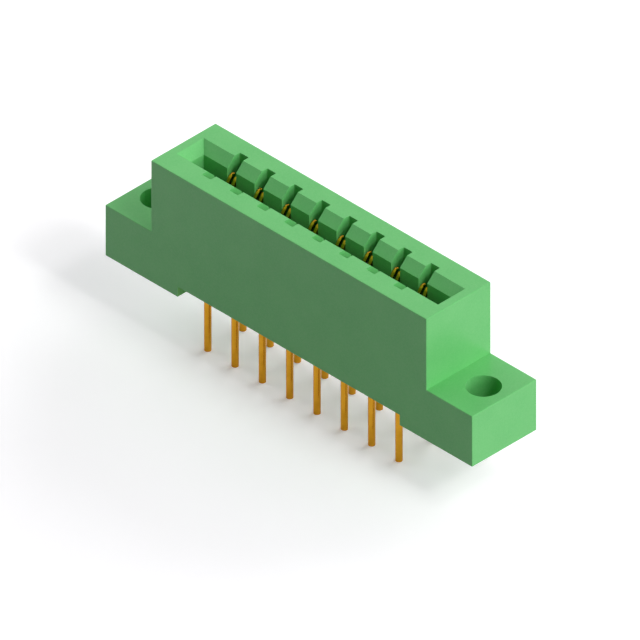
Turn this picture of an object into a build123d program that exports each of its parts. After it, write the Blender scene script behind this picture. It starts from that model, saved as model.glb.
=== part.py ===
# Card edge connector with two rows of sprung contacts and straight solder tails.
# Millimetres. X runs along the card slot, Y from the front row to the back row, Z up.
# The origin is on the board's surface, midway between the two mounting holes.
from build123d import *
from math import asin, atan2, cos, hypot, radians, sin, tan
import os

# Contact grid
positions = 8
pitch = 3.96
row_spacing = 5.08

# Card slot
slot_width = 1.85
slot_depth = 8.4
lead_in = 1.05
contact_to_slot_end = 4.04
end_wall = 2.05

# Outside of the insulator
body_height = 15.2
body_depth = 9.35
flange_length = 6.64
flange_height = 6.3
foot_length = 10.5
standoff = 1.27
edge_radius = 0.08

# Mounting holes
mount_hole_diameter = 3.8
mount_hole_to_end = 3.0

# Contact passages
cavity_width = 1.27
cavity_corner_radius = 0.12
web_thickness = 2.6
ledge_height = 3.0
contact_clearance = 0.06

# Contact
tail_diameter = 0.8
tail_projection = 6.6
blade_thickness = 0.34
side_clearance = 0.08
shoulder_height = 1.4
shoulder_clearance = 0.03
root_height = 1.4
root_bend_radius = 2.0
nose_gap = 1.0
nose_depth = 3.12
nose_bend_radius = 0.8
lead_in_angle = 37
tip_depth = 1.83
slit_width = 0.38
slit_length = 5.8
finger_corner = 0.08

# Sizes that follow
row_y = row_spacing / 2
contact_span = (positions - 1) * pitch
slot_length = contact_span + 2 * contact_to_slot_end
body_length = slot_length + 2 * end_wall
overall_length = body_length + 2 * flange_length
slot_floor = body_height - slot_depth
cavity_outer = row_y + blade_thickness / 2 + contact_clearance
pocket_inner = row_y - tail_diameter / 2 - contact_clearance
pocket_outer = row_y + tail_diameter / 2 + contact_clearance
blade_width = cavity_width - 2 * side_clearance
shoulder_width = cavity_width - 2 * shoulder_clearance
tip_z = body_height - tip_depth


def is_above_parting_line(edge):
    """True for an edge of the insulator that isn't on its underside, where the mould parts."""
    return edge.center().Z > standoff


# Insulator: one moulding, drawn as its front outline and carried through its depth
with BuildPart() as housing:
    with BuildSketch(Plane.XZ):
        with BuildLine():
            half = overall_length / 2
            Polyline(
                (half, 0),
                (half, flange_height),
                (body_length / 2, flange_height),
                (body_length / 2, body_height),
                (-body_length / 2, body_height),
                (-body_length / 2, flange_height),
                (-half, flange_height),
                (-half, 0),
                (foot_length - half, 0),
                (foot_length - half, standoff),
                (half - foot_length, standoff),
                (half - foot_length, 0),
                close=True,
            )
        outline = make_face()
        levels = outline.vertices().group_by(Axis.Y)
        flange_corners = levels[-2].sort_by(Axis.X)
        fillet(levels[-1] + [flange_corners[0], flange_corners[-1]], radius=edge_radius)
    extrude(amount=body_depth / 2, both=True)
    broad_faces = housing.faces().filter_by(Axis.Y).sort_by(Axis.Y)
    rims = broad_faces[0].edges() + broad_faces[-1].edges()
    fillet(rims.filter_by(is_above_parting_line), radius=edge_radius)

    # Card slot, with its lead-in on all four sides
    with BuildSketch(Plane.XY.offset(body_height)):
        Rectangle(slot_length, slot_width)
    extrude(amount=-slot_depth, mode=Mode.SUBTRACT)
    mouth = housing.faces().filter_by(Axis.Z).sort_by(Axis.Z)[-1].inner_wires()
    chamfer(mouth[0].edges(), length=lead_in)

    # Contact passages: open to the slot above its floor, straight below it, and a
    # wider pocket for the contact's shoulder at the underside
    stretches = [
        (slot_floor, body_height, slot_width / 4, cavity_outer),
        (ledge_height, slot_floor, web_thickness / 2, cavity_outer),
        (standoff, ledge_height, pocket_inner, pocket_outer),
    ]
    for low, high, inner, outer in stretches:
        with BuildSketch(Plane.XY.offset(low)) as passages:
            for side in (-1, 1):
                with Locations((0, side * (inner + outer) / 2)):
                    with GridLocations(pitch, 1, positions, 1):
                        Rectangle(cavity_width, outer - inner)
            if high == body_height:
                by_depth = passages.vertices().group_by(Axis.Y)
                fillet(by_depth[0] + by_depth[-1], radius=cavity_corner_radius)
        extrude(amount=high - low, mode=Mode.SUBTRACT)

    # Mounting holes through the flanges
    with Locations((0, 0, flange_height)):
        with GridLocations(overall_length - 2 * mount_hole_to_end, 1, 2, 1):
            Hole(radius=mount_hole_diameter / 2)

housing.part.label = "housing"


def spring_route(side):
    """Points of the blade's centre line in the YZ plane, from its shoulder to past its tip."""
    nose_z = body_height - nose_depth
    lean_z = ledge_height + root_height
    centre_y = nose_gap / 2 + blade_thickness / 2 + nose_bend_radius
    to_centre_y = row_y - centre_y
    to_centre_z = nose_z - lean_z
    lean = atan2(to_centre_y, to_centre_z) + asin(nose_bend_radius / hypot(to_centre_y, to_centre_z))
    lead = radians(lead_in_angle)
    reach = nose_bend_radius / cos((lead + lean) / 2)
    nose = (centre_y - reach * cos((lead - lean) / 2), nose_z + reach * sin((lead - lean) / 2))
    end_z = tip_z + blade_thickness
    end = (nose[0] + (end_z - nose[1]) * tan(lead), end_z)
    points = [(row_y, ledge_height), (row_y, lean_z), nose, end]
    return [(side * y, z) for y, z in points]


def build_contact(x, side):
    """One contact of flattened round wire; side is 1 in the back row and -1 in the front row."""
    with BuildPart() as contact:
        # The spring's bent form, seen from the end of the connector
        with BuildSketch(Plane.YZ.offset(x)):
            with BuildLine():
                bends = [root_bend_radius, nose_bend_radius]
                FilletPolyline(*spring_route(side), radius=bends)
            trace(line_width=blade_thickness)
        extrude(amount=blade_width / 2, both=True)
        # The spring's outline, seen from the card: two fingers cut off level, a slit between them
        with BuildSketch(Plane.XZ) as fingers:
            with Locations((x, (ledge_height + tip_z) / 2)):
                Rectangle(blade_width, tip_z - ledge_height)
            with Locations((x, tip_z - slit_length / 2)):
                Rectangle(slit_width, slit_length, mode=Mode.SUBTRACT)
            chamfer(fingers.vertices().group_by(Axis.Y)[-1], length=finger_corner)
        extrude(amount=body_depth, both=True, mode=Mode.INTERSECT)
        # The shoulder that seats up against the passage's ledge, and the round tail
        with BuildSketch(Plane.XY.offset(ledge_height)):
            with Locations((x, side * row_y)):
                Rectangle(shoulder_width, tail_diameter)
        extrude(amount=-shoulder_height)
        with BuildSketch(Plane.XY.offset(ledge_height - shoulder_height)):
            with Locations((x, side * row_y)):
                Circle(tail_diameter / 2)
        extrude(amount=-(ledge_height - shoulder_height + tail_projection))
    return contact


os.makedirs("parts", exist_ok=True)
export_step(housing.part, "parts/housing.step")
for row, side in (("front", -1), ("back", 1)):
    for number in range(1, positions + 1):
        x = (number - 1) * pitch - contact_span / 2
        contact = build_contact(x, side)
        contact.part.label = f"contact_{row}_{number}"
        export_step(contact.part, f"parts/{contact.part.label}.step")
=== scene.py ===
# Card edge connector: materials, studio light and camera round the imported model.
# Metres. X runs along the card slot, Y from the front row to the back row, Z up.
from math import radians

import bpy
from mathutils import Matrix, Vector


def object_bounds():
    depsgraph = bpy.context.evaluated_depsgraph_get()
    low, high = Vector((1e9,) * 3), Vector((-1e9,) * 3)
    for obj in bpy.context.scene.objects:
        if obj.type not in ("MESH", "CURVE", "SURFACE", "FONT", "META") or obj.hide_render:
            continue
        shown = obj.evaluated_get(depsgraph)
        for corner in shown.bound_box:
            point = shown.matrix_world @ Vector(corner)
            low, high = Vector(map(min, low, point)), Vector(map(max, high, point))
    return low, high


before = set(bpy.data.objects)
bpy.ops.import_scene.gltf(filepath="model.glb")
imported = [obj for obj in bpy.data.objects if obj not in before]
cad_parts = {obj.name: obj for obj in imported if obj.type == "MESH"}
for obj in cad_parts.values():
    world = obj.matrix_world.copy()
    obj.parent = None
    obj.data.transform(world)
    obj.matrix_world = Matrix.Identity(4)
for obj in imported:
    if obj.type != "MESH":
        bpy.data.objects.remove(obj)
cad_low, cad_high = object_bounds()

MM = 0.001
WHITE = (1, 1, 1, 1)

# The photograph is an even isometric view
PICTURE_PIXELS = 640
PIXELS_PER_MM = 9.755
AIM = Vector((-0.065, -0.065, 2.80)) * MM
VIEW_DIRECTION = Vector((1, -1, 1)).normalized()
CAMERA_DISTANCE = 0.4
CLIP_NEAR = 0.001
CLIP_FAR = 10

# Plastic: linear colours, gloss, and the share of speck colour where a speck is strongest
GREEN = (0.125, 0.512, 0.151, 1)
GREEN_LIGHT = (0.139, 0.534, 0.162, 1)
GREEN_SPECK = (0.208, 0.565, 0.210, 1)
SPECK_SHARE = 0.4
PLASTIC_ROUGHNESS = 0.3
PLASTIC_IOR = 1.4

# Gold: linear colours, with the up-facing cut ends' colour lightened into a painted highlight, and
# roughness of the plate and of its cut ends
GOLD = (0.57, 0.265, 0.016, 1)
GOLD_LIGHT = (0.63, 0.30, 0.022, 1)
# Colour of the cut ends: lighter than the plate, a painted highlight for light that the walls round them
# keep off
GOLD_CUT_PAINTED_HIGHLIGHT = (1.0, 0.62, 0.09, 1)
PLATE_ROUGHNESS = 0.15
CUT_ROUGHNESS = 1.0

# A face is a cut end, and gets the painted highlight, when its normal points up by more than this
CUT_AND_HIGHLIGHT_FACING = 0.95

# Noise: scale in features a metre, detail, and the range of its values that a colour change spans
FLOW_SCALE = 260.0
FLOW_DETAIL = 3.0
FLOW_RANGE = (0.35, 0.65)
GRAIN_SCALE = 5500.0
GRAIN_DETAIL = 2.0
SPECK_RANGE = (0.35, 0.75)
TONE_SCALE = 900.0
TONE_DETAIL = 2.0
TONE_RANGE = (0.35, 0.7)
LINE_SCALE = 12000.0
LINE_DETAIL = 3.0
LINE_STRETCH = (1.0, 1.0, 0.05)

# Bump: strength and height
GRAIN_BUMP = (0.12, 0.02 * MM)
LINE_BUMP = (0.08, 0.01 * MM)

# Floor: half its width, the share of light that it sends back to the object, and the light that it
# adds where it shows
FLOOR_HALF_WIDTH = 1.5
FLOOR_BOUNCE = 0.44
FLOOR_LIFT = (0.192, 0.180, 0.202, 1)

# Lamps: direction that each shines from, strength and width in degrees
LAMPS = {
    "key": ((1.0, 0.0, 1.0), 0.67, 10),
    "key high": ((1.0, 0.25, 1.55), 0.29, 10),
    "right": ((1.0, 0.4, 0.35), 2.0, 90),
    "right low": ((1.0, 0.0, 0.27), 0.65, 35),
    "back low": ((0.0, 1.0, 0.36), 1.96, 50),
    "left": ((-1.0, 0.0, 1.0), 0.38, 70),
    "left low": ((-1.0, 0.0, 0.36), 1.20, 70),
}


def empty_tree(owner):
    """The node tree of a material or world, emptied."""
    owner.use_nodes = True
    owner.node_tree.nodes.clear()
    return owner.node_tree


def new_material(name):
    """A material with a Principled shader alone, its node tree and the shader."""
    material = bpy.data.materials.new(name)
    tree = empty_tree(material)
    shader = tree.nodes.new("ShaderNodeBsdfPrincipled")
    output = tree.nodes.new("ShaderNodeOutputMaterial")
    tree.links.new(shader.outputs["BSDF"], output.inputs["Surface"])
    return material, tree, shader


def noise(tree, place, scale, detail):
    """Noise at the given places."""
    node = tree.nodes.new("ShaderNodeTexNoise")
    node.inputs["Scale"].default_value = scale
    node.inputs["Detail"].default_value = detail
    tree.links.new(place, node.inputs["Vector"])
    return node.outputs["Fac"]


def ramp(tree, factor, limits, colours):
    """Colour between two values of a factor."""
    node = tree.nodes.new("ShaderNodeValToRGB")
    for element, position, colour in zip(node.color_ramp.elements, limits, colours):
        element.position = position
        element.color = colour
    tree.links.new(factor, node.inputs["Fac"])
    return node.outputs["Color"]


def map_range(tree, value, from_limits, to_limits):
    """A value carried from one range to another."""
    node = tree.nodes.new("ShaderNodeMapRange")
    tree.links.new(value, node.inputs["Value"])
    sockets = ("From Min", "From Max", "To Min", "To Max")
    for socket, limit in zip(sockets, from_limits + to_limits):
        node.inputs[socket].default_value = limit
    return node.outputs["Result"]


def mix(tree, factor, colour, other):
    """A colour that gives way to another one, which is the same everywhere."""
    node = tree.nodes.new("ShaderNodeMixRGB")
    tree.links.new(factor, node.inputs["Fac"])
    tree.links.new(colour, node.inputs["Color1"])
    node.inputs["Color2"].default_value = other
    return node.outputs["Color"]


def compare(tree, operation, first):
    """A math node of two values, the first one linked and the second one still open."""
    node = tree.nodes.new("ShaderNodeMath")
    node.operation = operation
    tree.links.new(first, node.inputs[0])
    return node


def add_bump(tree, shader, height, strength, distance):
    """Fine relief on the shader's normal."""
    node = tree.nodes.new("ShaderNodeBump")
    node.inputs["Strength"].default_value = strength
    node.inputs["Distance"].default_value = distance
    tree.links.new(height, node.inputs["Height"])
    tree.links.new(node.outputs["Normal"], shader.inputs["Normal"])


def make_insulator():
    """Moulded green plastic: slight flow mottling, fine specks and an almost smooth mould texture."""
    material, tree, shader = new_material("insulator")
    place = tree.nodes.new("ShaderNodeTexCoord").outputs["Object"]
    flow = noise(tree, place, FLOW_SCALE, FLOW_DETAIL)
    body = ramp(tree, flow, FLOW_RANGE, (GREEN, GREEN_LIGHT))
    grain = noise(tree, place, GRAIN_SCALE, GRAIN_DETAIL)
    specks = map_range(tree, grain, SPECK_RANGE, (0, SPECK_SHARE))
    colour = mix(tree, specks, body, GREEN_SPECK)
    tree.links.new(colour, shader.inputs["Base Color"])
    add_bump(tree, shader, grain, *GRAIN_BUMP)
    shader.inputs["Roughness"].default_value = PLASTIC_ROUGHNESS
    shader.inputs["IOR"].default_value = PLASTIC_IOR
    return material


def make_gold():
    """Gold plate on drawn wire: faint lines along the wire, slight changes of tone, rough cut ends painted
    lighter as a highlight.
    """
    material, tree, shader = new_material("contact")
    coordinates = tree.nodes.new("ShaderNodeTexCoord")
    place = coordinates.outputs["Object"]
    tone = noise(tree, place, TONE_SCALE, TONE_DETAIL)
    plate = ramp(tree, tone, TONE_RANGE, (GOLD, GOLD_LIGHT))
    facing = tree.nodes.new("ShaderNodeSeparateXYZ")
    tree.links.new(coordinates.outputs["Normal"], facing.inputs["Vector"])
    above = compare(tree, "GREATER_THAN", facing.outputs["Z"])
    above.inputs[1].default_value = CUT_AND_HIGHLIGHT_FACING
    cut_and_highlight = above.outputs[0]
    # Faces that point up get the lighter cut-end gold, a painted highlight, and a rougher finish
    tree.links.new(mix(tree, cut_and_highlight, plate, GOLD_CUT_PAINTED_HIGHLIGHT), shader.inputs["Base Color"])
    rough = map_range(tree, cut_and_highlight, (0, 1), (PLATE_ROUGHNESS, CUT_ROUGHNESS))
    tree.links.new(rough, shader.inputs["Roughness"])
    stretch = tree.nodes.new("ShaderNodeMapping")
    stretch.inputs["Scale"].default_value = LINE_STRETCH
    tree.links.new(place, stretch.inputs["Vector"])
    lines = noise(tree, stretch.outputs["Vector"], LINE_SCALE, LINE_DETAIL)
    add_bump(tree, shader, lines, *LINE_BUMP)
    shader.inputs["Metallic"].default_value = 1.0
    return material


def seen_directly(tree):
    """1 for what the camera, a reflection or a transmission sees, 0 for light that falls on things."""
    path = tree.nodes.new("ShaderNodeLightPath")
    total = path.outputs["Is Camera Ray"]
    for ray in ("Is Glossy Ray", "Is Transmission Ray"):
        larger = compare(tree, "MAXIMUM", total)
        tree.links.new(path.outputs[ray], larger.inputs[1])
        total = larger.outputs[0]
    return total


def make_floor_material():
    """White floor that keeps shadows. It shows lighter than it lights things, and is open from below."""
    material = bpy.data.materials.new("floor")
    tree = empty_tree(material)
    seen = seen_directly(tree)
    diffuse = tree.nodes.new("ShaderNodeBsdfDiffuse")
    tree.links.new(map_range(tree, seen, (0, 1), (FLOOR_BOUNCE, 1)), diffuse.inputs["Color"])
    lift = tree.nodes.new("ShaderNodeEmission")
    lift.inputs["Color"].default_value = FLOOR_LIFT
    tree.links.new(seen, lift.inputs["Strength"])
    surface = tree.nodes.new("ShaderNodeAddShader")
    tree.links.new(diffuse.outputs["BSDF"], surface.inputs[0])
    tree.links.new(lift.outputs["Emission"], surface.inputs[1])
    clear = tree.nodes.new("ShaderNodeBsdfTransparent")
    side = tree.nodes.new("ShaderNodeNewGeometry")
    open_below = tree.nodes.new("ShaderNodeMixShader")
    tree.links.new(side.outputs["Backfacing"], open_below.inputs["Fac"])
    tree.links.new(surface.outputs["Shader"], open_below.inputs[1])
    tree.links.new(clear.outputs["BSDF"], open_below.inputs[2])
    output = tree.nodes.new("ShaderNodeOutputMaterial")
    tree.links.new(open_below.outputs["Shader"], output.inputs["Surface"])
    return material


def make_floor(height):
    """A large flat floor under the tails."""
    half = FLOOR_HALF_WIDTH
    corners = [(x * half, y * half, height) for x, y in ((-1, -1), (1, -1), (1, 1), (-1, 1))]
    mesh = bpy.data.meshes.new("floor")
    mesh.from_pydata(corners, [], [(0, 1, 2, 3)])
    mesh.materials.append(make_floor_material())
    floor = bpy.data.objects.new("floor", mesh)
    bpy.context.scene.collection.objects.link(floor)


def make_world():
    """White surroundings for the camera and for reflections. The lamps give all the light."""
    world = bpy.data.worlds.new("studio")
    bpy.context.scene.world = world
    tree = empty_tree(world)
    background = tree.nodes.new("ShaderNodeBackground")
    background.inputs["Color"].default_value = WHITE
    tree.links.new(seen_directly(tree), background.inputs["Strength"])
    output = tree.nodes.new("ShaderNodeOutputWorld")
    tree.links.new(background.outputs["Background"], output.inputs["Surface"])


def make_lamp(name, towards, strength, width):
    """A soft distant lamp that shines from the given direction. Reflections show the white world alone."""
    light = bpy.data.lights.new(name, "SUN")
    light.energy = strength
    light.angle = radians(width)
    lamp = bpy.data.objects.new(name, light)
    lamp.rotation_mode = "QUATERNION"
    lamp.rotation_quaternion = Vector(towards).to_track_quat("Z", "Y")
    lamp.visible_glossy = False
    bpy.context.scene.collection.objects.link(lamp)


def make_camera():
    """The photograph's isometric view."""
    data = bpy.data.cameras.new("camera")
    data.type = "ORTHO"
    data.ortho_scale = PICTURE_PIXELS / PIXELS_PER_MM * MM
    data.clip_start = CLIP_NEAR
    data.clip_end = CLIP_FAR
    camera = bpy.data.objects.new("camera", data)
    camera.rotation_mode = "QUATERNION"
    camera.rotation_quaternion = VIEW_DIRECTION.to_track_quat("Z", "Y")
    camera.location = AIM + VIEW_DIRECTION * CAMERA_DISTANCE
    bpy.context.scene.collection.objects.link(camera)
    bpy.context.scene.camera = camera


insulator = make_insulator()
gold = make_gold()
for node_name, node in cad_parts.items():
    for slot in node.material_slots:
        slot.material = insulator if node_name == "housing" else gold

make_floor(cad_low.z)
make_world()
for lamp_name, (towards, strength, width) in LAMPS.items():
    make_lamp(lamp_name, towards, strength, width)
make_camera()
bpy.context.scene.view_settings.view_transform = "Standard"
